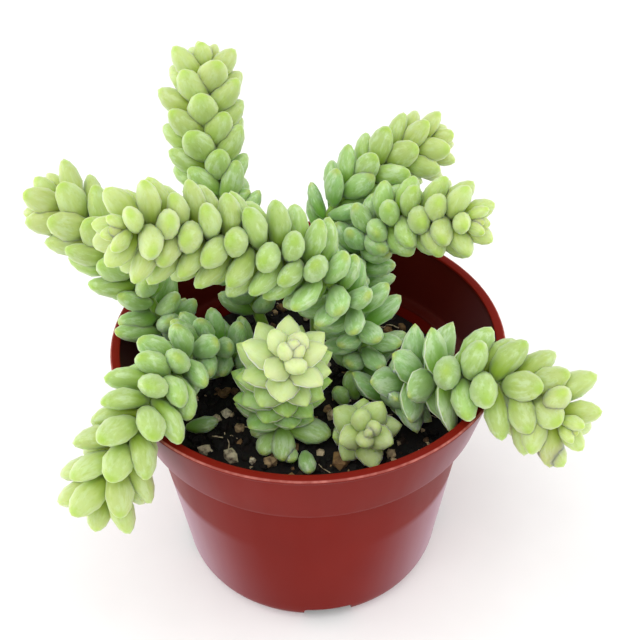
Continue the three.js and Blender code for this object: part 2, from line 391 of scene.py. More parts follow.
def mouldedPolypropylene():
    # injection-moulded polypropylene: an even brick red with a satin skin and faint flow marks; painted
    # light: a pale highlight on the lip's corner, painted shade on the inside above the ledge and a painted
    # mauve sheen where the wall turns away
    material, tree = newMaterial("mouldedPolypropylene")
    place = objectPlace(tree)
    axes = addNode(tree, "ShaderNodeSeparateXYZ", inputs={"Vector": place})
    height = axes.outputs["Z"]
    top = pot["height"]
    body = colourRamp(tree, makeNoise(tree, place, 28.0, 3.0), [(0.3, "#70150D"), (0.7, "#7A1910")])
    lip = smoothRange(tree, height, top - 0.5 * mm, top - 0.1 * mm)
    edged = mixColours(tree, lip, body, "#74180F")
    # the distance from the axis less the wall's radius at that height tells inside from outside
    flat = addNode(tree, "ShaderNodeCombineXYZ", inputs={"X": axes.outputs["X"], "Y": axes.outputs["Y"]})
    reach = addNode(tree, "ShaderNodeVectorMath", {"operation": "LENGTH"}, {0: flat.outputs["Vector"]})
    slope = (bandRadius(top) - pot["bandFootRadius"]) / (top - pot["bandBottom"])
    lean = calculate(tree, "MULTIPLY_ADD", height, -slope, reach.outputs["Value"])
    middle = bandRadius(top) - slope * top - pot["wall"] / 2
    inside = mapRange(tree, lean, middle - 0.1 * mm, middle + 0.3 * mm, 1.0, 0.0)
    # painted shade: from the ledge up to just under the lip the inside wall is darkened towards a deep
    # maroon
    above = mapRange(tree, height, pot["bandBottom"], pot["bandBottom"] + 0.8 * mm)
    below = mapRange(tree, height, top - 1.5 * mm, top - 0.5 * mm, 0.75, 0.0)
    shade = calculate(tree, "MULTIPLY", calculate(tree, "MULTIPLY", inside, above), below)
    paintedShadeInside = mixColours(tree, shade, edged, "#320E0A")
    # painted highlight: the lip's outer corner is painted pale, stronger in some places than in others
    corner = calculate(tree, "ADD", reach.outputs["Value"], height)
    cornerPlace = pot["rimRadius"] + top
    cornerMask = smoothRange(tree, corner, cornerPlace - 0.55 * mm, cornerPlace - 0.3 * mm)
    highlightBreaks = mapRange(tree, makeNoise(tree, place, 1 / (2.4 * mm), 4.0), 0.42, 0.72, 0.35, 0.9)
    cornerHighlighted = mixColours(tree, calculate(tree, "MULTIPLY", highlightBreaks, cornerMask), paintedShadeInside, "#CB7F75")
    # painted reflection: where the wall turns away from the camera its colour is mixed towards a pale mauve
    around = addNode(tree, "ShaderNodeVectorMath", {"operation": "NORMALIZE"}, {0: flat.outputs["Vector"]})
    facing = addNode(tree, "ShaderNodeLayerWeight", inputs={
        "Blend": 0.5, "Normal": around.outputs["Vector"]})
    paintedSheen = smoothRange(tree, facing.outputs["Facing"], 0.41, 0.93, 0.95)
    low = mapRange(tree, height, top - 3 * mm, top - 1.2 * mm, 1.0, 0.0)
    outer = calculate(tree, "MULTIPLY_ADD", inside, -0.9, 1.0)
    outerPaintedSheen = calculate(tree, "MULTIPLY", calculate(tree, "MULTIPLY", paintedSheen, low), outer)
    stretched = addNode(tree, "ShaderNodeMapping", inputs={"Vector": place, "Scale": (1, 1, 0.06)})
    flow = makeNoise(tree, stretched.outputs["Vector"], 160.0)
    finishMaterial(tree, {
        "Base Color": mixColours(tree, outerPaintedSheen, cornerHighlighted, "#B79AA8"),
        "Roughness": mapRange(tree, flow, 0.3, 0.7, 0.34, 0.42),
        "Normal": makeRelief(tree, makeNoise(tree, place, 1 / (0.9 * mm)), 0.1, 0.05 * mm),
        "IOR": 1.49,
        "Specular IOR Level": 0.05,
    })
    return material


potPiece = makePot()
potPiece.data.materials.append(mouldedPolypropylene())
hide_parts("pot")
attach(potPiece, "root")
print("pot turned and drained")


soil = {
    "top": 56.5 * mm,
    "shoulder": 9 * mm,
    "mound": 1.6 * mm,
    "lumps": 0.9 * mm,
    "lumpLengthX": 39 * mm,
    "lumpLengthY": 45 * mm,
    "lumpShiftX": 1.1,
    "lumpShiftY": -0.4,
    "gap": 0.4 * mm,
    "sides": 120,
    "rings": 34,
    "crumbRise": 0.9 * mm,
    "crumbSize": 5 * mm,
    "crumbFractal": (0.9, 2.1, 4),  # how far each finer layer fades, how much finer it is, how many
    "calmFrom": 0.93,  # the crumbs die out over the last share of the radius, at the pot's wall
    "seed": 11,
    "clods": {"count": 1600, "sizes": (0.4 * mm, 1.9 * mm), "rise": 0.3, "tints": (0, 1),
              "flatness": 0.7, "roughness": 0.25, "seed": 0},
    "grit": {"count": 250, "sizes": (0.3 * mm, 1.9 * mm), "rise": 0.4, "tints": (0.1, 1),
             "flatness": 0.75, "roughness": 0.22, "seed": 20},
    "lumpKinds": 5,
    "spin": 6.28,
    "topple": 0.7,
    "smallShare": 2.2,  # the higher, the more of the lumps are small
    "roots": {"count": 26, "spread": 0.85, "points": 8, "step": 1.1 * mm, "wander": 0.7,
              "radius": (0.12 * mm, 0.22 * mm), "lift": (0.4 * mm, 1.3 * mm), "tint": 0.75},
    "stoneRise": 0.25,
    # the stones that stand out, in mm: place, size, tint from brown to bone
    "stones": [(8.7, -27.8, 3.3, 0.3), (-21.1, -25.8, 2.5, 0.9), (-25.8, -11.3, 1.7, 0.8),
               (-23.1, -9.8, 1.9, 1.0), (6.6, -10.7, 2.1, 0.7), (-15.2, -27.6, 1.2, 1.0),
               (-10.6, -28.1, 2.2, 0.5), (-28.6, -22.4, 2.0, 0.85), (-19.1, -16.2, 1.8, 0.6),
               (27, 14, 2.6, 0.4), (33, 3, 2.0, 0.75), (22, -26, 1.9, 0.65)],
}


def soilHeight(x, y):
    mound = soil["mound"] * (1 - (x * x + y * y) / pot["bodyTopRadius"] ** 2)
    waveX = math.sin(2 * math.pi * x / soil["lumpLengthX"] + soil["lumpShiftX"])
    waveY = math.cos(2 * math.pi * y / soil["lumpLengthY"] + soil["lumpShiftY"])
    return soil["top"] + mound + soil["lumps"] * waveX * waveY


def soilEdge():
    return bodyRadius(soil["top"]) - pot["wall"] - soil["gap"]


def makeSoilBed():
    inset = pot["wall"] + soil["gap"]
    edge = soilEdge()
    rings = [(pot["drainInner"] - soil["gap"], inset),
             (bodyRadius(soil["shoulder"]) - inset, soil["shoulder"]),
             (edge, soil["top"])]
    rings += [(edge * (1 - number / soil["rings"]), soil["top"]) for number in range(1, soil["rings"])]
    piece = turnRings("soilBed", soil["sides"], rings)
    bpy.ops.mesh.poke()
    bpy.ops.mesh.select_all(action="SELECT")
    bpy.ops.mesh.normals_make_consistent(inside=False)
    bpy.ops.object.mode_set(mode="OBJECT")
    for point in piece.data.vertices:
        x, y, z = point.co
        if z > soil["top"] - 0.1 * mm:
            rough = noise.fractal(Vector((x, y, 0)) / soil["crumbSize"], *soil["crumbFractal"])
            away = smoothStep(1.0, soil["calmFrom"], math.hypot(x, y) / edge)
            point.co.z = soilHeight(x, y) + soil["crumbRise"] * rough * away
    makeActive(piece)
    bpy.ops.object.shade_smooth()
    return piece


def makeLump(name, flatness, roughness, seed):
    deselectAll()
    bpy.ops.mesh.primitive_ico_sphere_add(subdivisions=1, radius=1)
    lump = bpy.context.object
    lump.name = name
    bpy.ops.object.mode_set(mode="EDIT")
    bpy.ops.mesh.select_all(action="SELECT")
    bpy.ops.transform.resize(value=(1, 0.8, flatness))
    bpy.ops.transform.vertex_random(offset=roughness, seed=seed, normal=0.5)
    bpy.ops.object.mode_set(mode="OBJECT")
    return lump


def copyPart(source, place):
    part = source.copy()
    part.data = source.data.copy()
    bpy.context.collection.objects.link(part)
    part.matrix_world = place
    return part


def giveAttribute(piece, name, values):
    attribute = piece.data.attributes.get(name) or piece.data.attributes.new(name, "FLOAT", "POINT")
    if isinstance(values, (int, float)):
        values = [values] * len(piece.data.vertices)
    attribute.data.foreach_set("value", values)


# a random place on the soil, no further out than the reach
def scatterPlace(reach, draw):
    away = reach * math.sqrt(draw.random())
    angle = draw.uniform(0, 2 * math.pi)
    return away * math.cos(angle), away * math.sin(angle)


def scatterLumps(name, kind, draw, stones=()):
    sources = [makeLump("lump%d" % number, kind["flatness"], kind["roughness"], kind["seed"] + number)
               for number in range(soil["lumpKinds"])]
    smallest, largest = kind["sizes"]

    def layLump(x, y, size, rise, turn):
        place = Matrix.Translation((x, y, soilHeight(x, y) + rise * size)) @ turn @ Matrix.Scale(size, 4)
        return copyPart(draw.choice(sources), place)

    parts = []
    for number in range(kind["count"]):
        x, y = scatterPlace(soilEdge() - largest, draw)
        size = mix(smallest, largest, draw.random() ** soil["smallShare"])
        turn = Matrix.Rotation(draw.uniform(0, soil["spin"]), 4, "Z")
        turn = turn @ Matrix.Rotation(draw.uniform(-soil["topple"], soil["topple"]), 4, "X")
        parts.append(layLump(x, y, size, kind["rise"], turn))
        giveAttribute(parts[-1], "tint", draw.uniform(*kind["tints"]))
    for x, y, size, tint in stones:
        turn = Matrix.Rotation(draw.uniform(0, soil["spin"]), 4, "Z")
        parts.append(layLump(x * mm, y * mm, size * mm, soil["stoneRise"], turn))
        giveAttribute(parts[-1], "tint", tint)
    piece = joinAll(name, parts)
    for source in sources:
        bpy.data.objects.remove(source)
    return piece


# dead rootlets: thin threads that wander over the surface
def makeRootlets(draw):
    roots = soil["roots"]
    parts = []
    for number in range(roots["count"]):
        x, y = scatterPlace(bodyRadius(soil["top"]) * roots["spread"], draw)
        heading = draw.uniform(0, 2 * math.pi)
        radius = draw.uniform(*roots["radius"])
        points = []
        for step in range(roots["points"]):
            points.append((x, y, soilHeight(x, y) + draw.uniform(*roots["lift"])))
            heading += draw.uniform(-roots["wander"], roots["wander"])
            x += roots["step"] * math.cos(heading)
            y += roots["step"] * math.sin(heading)
        parts.append(makeThread("rootlet%d" % number, points, radius, [1.0] * len(points), resolution=1))
    piece = joinAll("rootlets", parts)
    bpy.ops.object.shade_smooth()
    giveAttribute(piece, "tint", roots["tint"])
    return piece


def moistPeat():
    # moist peat: nearly black crumbs with brown fibres, dull but for a little damp shine
    material, tree = newMaterial("moistPeat")
    place = objectPlace(tree)
    crumbs = makeNoise(tree, place, 1 / (2.2 * mm), 6.0, 0.65)
    colour = colourRamp(tree, crumbs,
                        [(0.35, "#050403"), (0.55, "#0E0A07"), (0.68, "#21160F"), (0.82, "#5A4432")])
    # here and there a clod is drier and browner
    dry = mapRange(tree, readAttribute(tree, "tint"), 0.8, 1.0, 0.0, 0.6)
    grain = makeNoise(tree, place, 1 / (0.5 * mm), 4.0)
    finishMaterial(tree, {
        "Base Color": mixColours(tree, dry, colour, "#3D2A1D"),
        "Roughness": mapRange(tree, crumbs, 0.3, 0.7, 0.65, 0.95),
        "Normal": makeRelief(tree, grain, 0.7, 0.25 * mm),
        "Specular IOR Level": 0.35,
    })
    return material


def crushedGrit():
    # crushed pumice and quartz grit: matte tan and bone-pale stones with brown stains
    material, tree = newMaterial("crushedGrit")
    base = colourRamp(tree, readAttribute(tree, "tint"),
                      [(0.0, "#3A281B"), (0.3, "#8A6A40"), (0.6, "#B9A077"), (1.0, "#E6DDBD")])
    stain = makeNoise(tree, objectPlace(tree), 1 / (1.6 * mm), 5.0)
    mask = colourRamp(tree, stain, [(0.45, 0.0), (0.68, 0.9)])
    finishMaterial(tree, {
        "Base Color": mixColours(tree, mask, base, "#4A3322"),
        "Roughness": 0.85,
        "Normal": makeRelief(tree, stain, 0.5, 0.2 * mm),
    })
    return material


soilDraw = random.Random(soil["seed"])
peatMaterial = moistPeat()
gritMaterial = crushedGrit()
soilPiece = makeSoilBed()
soilPiece.data.materials.append(peatMaterial)
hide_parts("soil")
clodPiece = scatterLumps("peatClods", soil["clods"], soilDraw)
clodPiece.data.materials.append(peatMaterial)
gritPiece = scatterLumps("gritStones", soil["grit"], soilDraw, soil["stones"])
gritPiece.data.materials.append(gritMaterial)
rootPiece = makeRootlets(soilDraw)
rootPiece.data.materials.append(gritMaterial)
for piece in (soilPiece, clodPiece, gritPiece, rootPiece):
    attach(piece, "root")
print("soil filled")


leafShapes = {
    # rings from root to tip: place along the leaf, half width; then its thickness, how thick it still is
    # towards its margin, its upward curve and how pale its margin is
    "plump": {"rings": [(0.06, 0.40), (0.27, 0.82), (0.60, 1.0), (0.82, 0.74), (0.945, 0.38)],
              "thickness": 0.86, "margin": 1.0, "curve": 0.10, "rim": 0.0},
    "slim": {"rings": [(0.06, 0.38), (0.27, 0.78), (0.60, 1.0), (0.82, 0.77), (0.945, 0.41)],
             "thickness": 0.82, "margin": 1.0, "curve": 0.17, "rim": 0.0},
    "pointed": {"rings": [(0.06, 0.54), (0.28, 0.90), (0.54, 1.0), (0.79, 0.67), (0.93, 0.28)],
                "thickness": 0.66, "margin": 0.62, "curve": 0.20, "rim": 1.0},
}
leafBuild = {
    "segments": 12,
    "ringCount": 6,
    "flatFace": 0.86,
    "marginSector": (0.4, 0.7),  # radians off the side: the points that a thin margin squeezes
    "parked": 10,  # finished rings wait this far up, clear of those still to be shaped
}


def makeLeaf(name, shape):
    deselectAll()
    ringCount = leafBuild["ringCount"]
    bpy.ops.mesh.primitive_uv_sphere_add(segments=leafBuild["segments"], ring_count=ringCount, radius=1)
    leaf = bpy.context.object
    leaf.name = name
    bpy.ops.object.mode_set(mode="EDIT")
    parked = leafBuild["parked"]
    for number, (along, halfWidth) in enumerate(shape["rings"], start=1):
        angle = math.pi * (1 - number / ringCount)
        level, spread = math.cos(angle), math.sin(angle)
        selectPoints(leaf, lambda point: abs(point.z - level) < 1e-3)
        bpy.ops.transform.resize(value=(halfWidth / spread, halfWidth / spread, 1),
                                 center_override=(0, 0, level))
        bpy.ops.transform.translate(value=(0, 0, parked + along - level))
    for end, place in ((-1, 0), (1, 1)):
        selectPoints(leaf, lambda point: abs(point.z - end) < 1e-3)
        bpy.ops.transform.translate(value=(0, 0, parked + place - end))
    bpy.ops.mesh.select_all(action="SELECT")
    bpy.ops.transform.translate(value=(0, 0, -parked))
    low, high = leafBuild["marginSector"]
    selectPoints(leaf, lambda point: low < math.atan2(abs(point.y), abs(point.x)) < high)
    bpy.ops.transform.resize(value=(1, shape["margin"], 1), center_override=(0, 0, 0))
    bpy.ops.mesh.select_all(action="SELECT")
    bpy.ops.transform.resize(value=(1, shape["thickness"], 1), center_override=(0, 0, 0))
    selectPoints(leaf, lambda point: point.y > 0.01)
    bpy.ops.transform.resize(value=(1, leafBuild["flatFace"], 1), center_override=(0, 0, 0))
    bpy.ops.object.mode_set(mode="OBJECT")
    points = [point.co for point in leaf.data.vertices]
    widths = {0.0: 1.0}
    for point in points:
        level = round(point.z, 3)
        widths[level] = max(widths.get(level, 0.05), abs(point.x))
    giveAttribute(leaf, "along", [min(1.0, max(0.0, point.z)) for point in points])
    giveAttribute(leaf, "side", [point.x for point in points])
    giveAttribute(leaf, "face", [point.y for point in points])
    giveAttribute(leaf, "edge", [abs(point.x) / widths[round(point.z, 3)] for point in points])
    giveAttribute(leaf, "rim", shape["rim"])
    giveAttribute(leaf, "bloom", 0.0)
    bpy.ops.object.shade_smooth()
    leaf["curve"] = shape["curve"]
    return leaf


leafModels = {name: makeLeaf("leaf_" + name, shape) for name, shape in leafShapes.items()}
print("leaves modelled")


shootBuild = {
    "stemRadius": 1.9 * mm,
    "stemTipShare": 0.45,
    "stemStride": 12,
    "rootDepth": 10 * mm,
    # leaves stand looser towards the foot of a shoot, with their pitch, length and width scaled by these
    "looseZone": 22,
    "basePitch": 1.4,
    "baseLength": 0.95,
    "baseWidth": 0.8,
    "strays": (0.06, 0.28),
    # and close up to a bud over the last stretch
    "tipZone": 8 * mm,
    "tipPitch": 0.4,
    "tipLength": 0.34,
    "tipWidth": 0.42,
    "tipTilt": math.radians(12),
    "tipTiltPower": 1.3,
    "budFrom": 0.4,
    "sizeSpread": (0.92, 1.06),
    "curlSpread": (0.75, 1.25),
    "leanSpread": (-0.15, 0.15),
    # a leaf's room is tested by balls: place along it, and radius as a share of its width
    "balls": [(0.36, 0.28), (0.62, 0.32), (0.85, 0.24), (0.99, 0.06)],
    "shortenings": (1, 0.9, 0.8, 0.7, 0.6),
    "narrowing": 0.6,
    "bends": (1, 0.85, 0.7, 0.55),
    "clearance": 0.15 * mm,
    "potClearance": 0.55 * mm,
    # two leaves of one shoot may not have this part of their length in the same place
    "crownPlace": 0.8,
    "crownGap": 0.58,
    "sampleStep": 2 * mm,
    "cell": 5 * mm,
    "seed": 100,
}
looseLeaf = {
    "curve": 0.08,
    "age": 0.8,
    "tintStep": 0.37,
    "balls": (0.3, 0.55, 0.8),
    "ballShare": 0.3,
    "steep": 0.7,
}
# lengths in mm and tilts in degrees; the line of each stem starts on the soil, the first leaf is measured
# from the buried root, and where leaves stand looser, are pointed, young or old is measured from the tip;
# a loose leaf is given by its root, its tip and its width
# the centre and small shoots are given painted light, a lift towards pale colours because they stand in
# shade
shoots = {
    "shoot_arch": {
        "firstLeaf": 14, "pitch": 1.0, "looseFrom": 52, "length": 14.4, "width": 8.0, "tilt": 76,
        "leaf": "slim", "pointedFrom": 99, "old": 80,
        "line": [(14, 5), (15.5, 3, 72), (12.5, 0, 88), (4.5, -3, 100), (-5, -4, 109), (-17, -6, 114),
                 (-28, -8, 119), (-36, -11.5, 123), (-42.5, -17.5, 127)]},
    "shoot_back_left": {
        "firstLeaf": 20, "pitch": 1.16, "looseFrom": 26, "length": 14.2, "width": 8.6, "tilt": 60,
        "leaf": "plump", "old": 60,
        "loose": [((-25.7, 33, 99.6), (-15.3, 30, 105.2), 6)],
        "line": [(-12, 20), (-17, 23, 76), (-21, 27, 96), (-26, 34, 109), (-28, 42, 123),
                 (-27.5, 49.5, 135.5)]},
    "shoot_left": {
        "firstLeaf": 20, "pitch": 1.12, "looseFrom": 22, "length": 14.6, "width": 8.6, "tilt": 58,
        "leaf": "slim", "old": 56,
        "loose": [((-41.3, 7.5, 74.5), (-52.6, -3.6, 82), 6.6)],
        "line": [(-33, 12), (-40, 11, 69), (-43, 9, 82), (-48, 10, 93), (-54.5, 13, 101.5),
                 (-62, 17, 107.5), (-68.5, 19.5, 110.5)]},
    "shoot_back_right": {
        "firstLeaf": 28, "pitch": 1.12, "looseFrom": 22, "length": 13.2, "width": 7.5, "tilt": 62,
        "leaf": "slim", "old": 42,
        "line": [(2, 26), (2, 28, 80), (6, 30, 97), (13, 34, 104.5), (21, 38, 109), (29.5, 42, 111.5),
                 (37, 44, 113)]},
    "shoot_right": {
        "firstLeaf": 24, "pitch": 1.0, "looseFrom": 32, "length": 13.2, "width": 7.8, "tilt": 66,
        "leaf": "plump", "old": 42,
        "line": [(12, 17), (13, 22, 78), (17, 23, 94), (25, 20, 103), (34, 15, 107), (43, 8, 110)]},
    "shoot_front_left": {
        "firstLeaf": 18, "pitch": 1.16, "looseFrom": 36, "length": 13.8, "width": 8.0, "tilt": 66,
        "leaf": "slim", "old": 62,
        "line": [(-15, 7), (-22, 3, 69), (-28, -6, 79), (-33, -19, 86), (-37, -30, 88), (-41, -38, 85.5),
                 (-45.5, -43.5, 79.5), (-49.5, -46.5, 72), (-52, -47.5, 66)]},
    "shoot_centre": {
        "firstLeaf": 12, "pitch": 0.8, "looseFrom": 60, "length": 13.8, "width": 9.0, "tilt": 78,
        "leaf": "pointed", "pointedFrom": 0, "bloom": 0.35, "old": 38,
        "loose": [((-8, -14.5, 62), (-15.6, -20.6, 60), 7), ((-7, -17, 61.5), (-7, -30.4, 60), 6.8),
                  ((-7, -17, 62), (5.8, -23, 61.5), 8.4), ((-6.2, -23, 59.6), (-4.6, -30.6, 60.2), 4.8),
                  ((-10, -17, 60), (-12.5, -28, 60), 6)],
        "line": [(-8, -13), (-8, -14.5, 70), (-6.8, -18.5, 81.5), (-4, -23, 92.3)]},
    "shoot_small": {
        "firstLeaf": 12, "pitch": 1.1, "looseFrom": 60, "length": 10.8, "width": 8.2, "tilt": 76,
        "leaf": "pointed", "pointedFrom": 0, "bloom": 0.22, "young": -10, "old": 52,
        "loose": [((13.2, -4.8, 58), (11.6, -2.5, 68), 6), ((10.5, -7, 58), (7.5, -6, 65), 5)],
        "line": [(13, -17), (14, -21, 62), (15.2, -28.2, 69.5)]},
    "shoot_front_right": {
        "firstLeaf": 13, "pitch": 1.06, "looseFrom": 60, "length": 15.2, "width": 8.8, "tilt": 70,
        "leaf": "plump", "pointedFrom": 34, "footTilt": 86, "footPitch": 1.35, "old": 50,
        "looseAge": 0.1,
        "loose": [((56.5, -34, 78.5), (63, -43.5, 71.2), 7.6)],
        "line": [(20, -6), (25, -9, 67), (31, -15, 76), (38, -21, 82), (46, -26, 85), (53, -28.5, 83.5),
                 (59.5, -31.5, 81), (63, -38, 81.5)]},
}


def stemPoints(shoot):
    (x, y), rest = shoot["line"][0], shoot["line"][1:]
    x, y = x * mm, y * mm
    level = soilHeight(x, y)
    points = [Vector((x, y, level - shootBuild["rootDepth"])), Vector((x, y, level))]
    return points + [Vector(point) * mm for point in rest]


# a smooth line through the points, sampled evenly along its length
def stemLine(points, count=400, finer=60):
    ends = [2 * points[0] - points[1]] + points + [2 * points[-1] - points[-2]]
    dense = []
    for number in range(1, len(ends) - 2):
        a, b, c, d = ends[number - 1:number + 3]
        for step in range(finer):
            t = step / finer
            dense.append(0.5 * (2 * b + (c - a) * t + (2 * a - 5 * b + 4 * c - d) * t * t
                                + (3 * b - a - 3 * c + d) * t ** 3))
    dense.append(points[-1].copy())
    lengths = [0.0]
    for first, second in zip(dense, dense[1:]):
        lengths.append(lengths[-1] + (second - first).length)
    total = lengths[-1]
    line = []
    place = 0
    for step in range(count + 1):
        wanted = total * step / count
        while place < len(lengths) - 2 and lengths[place + 1] < wanted:
            place += 1
        span = lengths[place + 1] - lengths[place] or 1.0
        line.append(dense[place].lerp(dense[place + 1], (wanted - lengths[place]) / span))
    return line, total


# directions along the line that turn with it and never twist
def stemFrames(line):
    tangents = [(second - first).normalized() for first, second in zip(line, line[1:])]
    tangents.append(tangents[-1])
    outward = tangents[0].orthogonal().normalized()
    frames = []
    for tangent in tangents:
        outward = (outward - tangent * outward.dot(tangent)).normalized()
        frames.append((tangent, outward, tangent.cross(outward)))
    return frames


stems = {}
for name, shoot in shoots.items():
    line, total = stemLine(stemPoints(shoot))
    stride = max(1, round(len(line) * shootBuild["sampleStep"] / total))
    stems[name] = {"line": line, "length": total, "frames": stemFrames(line), "samples": line[::stride]}
crowd = {}  # balls that fill the stems and the leaves already placed, by grid cell
crowns = {name: [] for name in shoots}  # where the leaves of each shoot end


def cellOf(point):
    return tuple(int(part // shootBuild["cell"]) for part in point)


def addBall(point, radius, name):
    crowd.setdefault(cellOf(point), []).append((point, radius, name))


for name, stem in stems.items():
    for point in stem["samples"]:
        addBall(point, shootBuild["stemRadius"], name)


# true when a ball at the point is clear of the pot, the soil and the other shoots
def isFree(point, radius, name):
    gap = radius + shootBuild["potClearance"]
    reach = math.hypot(point.x, point.y)
    if point.z < pot["height"] + gap:
        shell = bandRadius(point.z) if point.z > pot["bandBottom"] - gap else bodyRadius(point.z)
        inner = shell - pot["wall"]
        if point.z > pot["height"] - pot["lipHeight"] - gap:
            inner = pot["rimRadius"] - pot["lipWidth"]
        inside = reach < inner - gap
        outside = reach > shell + pot["lipOverhang"] + gap
        if not inside and not outside:
            return False
        if inside and point.z < soilHeight(point.x, point.y) + gap:
            return False
        ledge = pot["bandBottom"] + pot["wall"] + gap
        if inside and point.z < ledge and reach > pot["bodyTopRadius"] - pot["wall"] - gap:
            return False
    gap = radius + shootBuild["clearance"]
    middle = cellOf(point)
    for cell in ((middle[0] + i, middle[1] + j, middle[2] + k)
                 for i in (-1, 0, 1) for j in (-1, 0, 1) for k in (-1, 0, 1)):
        for other, size, owner in crowd.get(cell, ()):
            if owner != name and (other - point).length_squared < (size + gap) ** 2:
                return False
    return True


# the places of a leaf's own axes: its width, its upper face and its length
def leafMatrix(point, tangent, outward, tilt, length, width, lean):
    along = tangent * math.cos(tilt) + outward * math.sin(tilt)
    upper = tangent * math.sin(tilt) - outward * math.cos(tilt)
    side = upper.cross(along)
    turn = Matrix.Rotation(lean, 3, along)
    side, upper = turn @ side, turn @ upper
    place = Matrix((side * width / 2, upper * width / 2, along * length)).transposed().to_4x4()
    place.translation = point
    return place


def bendLeaf(part, curve, length, width):
    for point in part.data.vertices:
        point.co.y += curve * point.co.z ** 2 * length / (width / 2)


# every leaf a stem would carry if nothing stood in its way
def listLeaves(name, shoot, draw):
    stem = stems[name]
    total = stem["length"]
    along = shoot["firstLeaf"] * mm
    leaves = []
    while along < total:
        nearTip = max(0.0, 1 - (total - along) / shootBuild["tipZone"]) ** 2
        fromTip = (total - along) / mm
        loose = smoothStep(shoot["looseFrom"], shoot["looseFrom"] + shootBuild["looseZone"], fromTip)
        stray = mix(*shootBuild["strays"], loose)
        longer = mix(1, shootBuild["tipLength"], nearTip) * mix(1, shootBuild["baseLength"], loose)
        wider = mix(1, shootBuild["tipWidth"], nearTip) * mix(1, shootBuild["baseWidth"], loose)
        step = min(len(stem["line"]) - 1, round(len(stem["line"]) * along / total))
        atFoot = fromTip > shoot.get("pointedFrom", math.inf)
        tilt = math.radians(shoot.get("footTilt", shoot["tilt"]) if atFoot else shoot["tilt"])
        tilt = mix(tilt, shootBuild["tipTilt"], nearTip ** shootBuild["tipTiltPower"])
        inBud = nearTip > shootBuild["budFrom"]
        leaves.append({
            "shoot": name,
            "model": "plump" if inBud else "pointed" if atFoot else shoot["leaf"],
            "point": stem["line"][step],
            "frame": stem["frames"][step],
            "angle": len(leaves) * goldenAngle + draw.uniform(-stray, stray),
            "tilt": tilt + draw.uniform(-stray, stray),
            "lean": draw.uniform(*shootBuild["leanSpread"]),
            "length": shoot["length"] * mm * longer * draw.uniform(*shootBuild["sizeSpread"]),
            "width": shoot["width"] * mm * wider * draw.uniform(*shootBuild["sizeSpread"]),
            "curl": draw.uniform(*shootBuild["curlSpread"]),
            "age": smoothStep(shoot.get("young", 0), shoot["old"], fromTip),
            "tint": draw.random(),
        })
        pitch = shoot["pitch"] * mm * mix(1, shootBuild["tipPitch"], nearTip)
        pitch *= mix(1, shootBuild["basePitch"], loose)
        if atFoot:
            pitch *= shoot.get("footPitch", 1)
        along += pitch
    return leaves


# a leaf that would meet a neighbour is bent to the tip, then shortened, then left out
def placeLeaf(leaf):
    tangent, across, around = leaf["frame"]
    outward = across * math.cos(leaf["angle"]) + around * math.sin(leaf["angle"])
    model = leafModels[leaf["model"]]
    curve = model["curve"] * leaf["curl"]
    name = leaf["shoot"]
    whole = leafMatrix(leaf["point"], tangent, outward, leaf["tilt"], leaf["length"], leaf["width"], 0.0)
    crown = whole @ Vector((0, 0, shootBuild["crownPlace"]))
    for other, width in crowns[name]:
        if (other - crown).length < shootBuild["crownGap"] * (width + leaf["width"]) / 2:
            return None
    crowns[name].append((crown, leaf["width"]))
    for shorten in shootBuild["shortenings"]:
        for bend in shootBuild["bends"]:
            length = leaf["length"] * shorten
            width = leaf["width"] * mix(1, shorten, shootBuild["narrowing"])
            tilt = leaf["tilt"] * bend
            place = leafMatrix(leaf["point"], tangent, outward, tilt, length, width, leaf["lean"])
            balls = [(place @ Vector((0, curve * share * share * 2 * length / width, share)), fat * width)
                     for share, fat in shootBuild["balls"]]
            if all(isFree(point, radius, name) for point, radius in balls):
                for point, radius in balls:
                    addBall(point, radius, name)
                part = copyPart(model, place)
                bendLeaf(part, curve, length, width)
                giveAttribute(part, "age", leaf["age"])
                giveAttribute(part, "tint", leaf["tint"])
                giveAttribute(part, "bloom", shoots[name].get("bloom", 0.0))
                return part
    return None


def layLooseLeaf(name, shoot, root, tip, width):
    root, tip = Vector(root) * mm, Vector(tip) * mm
    width = width * mm
    length = (tip - root).length
    along = (tip - root).normalized()
    up = Vector((0, 0, 1)) if abs(along.z) < looseLeaf["steep"] else Vector((0, -1, 0))
    outward = (along * up.dot(along) - up).normalized()
    part = copyPart(leafModels["slim"], leafMatrix(root, along, outward, 0.0, length, width, 0.0))
    bendLeaf(part, looseLeaf["curve"], length, width)
    giveAttribute(part, "age", shoot.get("looseAge", looseLeaf["age"]))
    giveAttribute(part, "tint", (root.x / mm * looseLeaf["tintStep"]) % 1.0)
    for share in looseLeaf["balls"]:
        addBall(root.lerp(tip, share), looseLeaf["ballShare"] * width, name)
    return part


def makeStem(name, stem):
    points = stem["line"][::shootBuild["stemStride"]] + [stem["line"][-1]]
    shares = [mix(1.0, shootBuild["stemTipShare"], number / len(points)) for number in range(len(points))]
    piece = makeThread(name + "Stem", points, shootBuild["stemRadius"], shares, resolution=3)
    for attribute, value in {"along": 0.3, "age": 0.75, "tint": 0.5, "face": 0.0, "side": 0.0,
                             "edge": 0.0, "rim": 0.0, "bloom": 0.0}.items():
        giveAttribute(piece, attribute, value)
    bpy.ops.object.shade_smooth()
    return piece


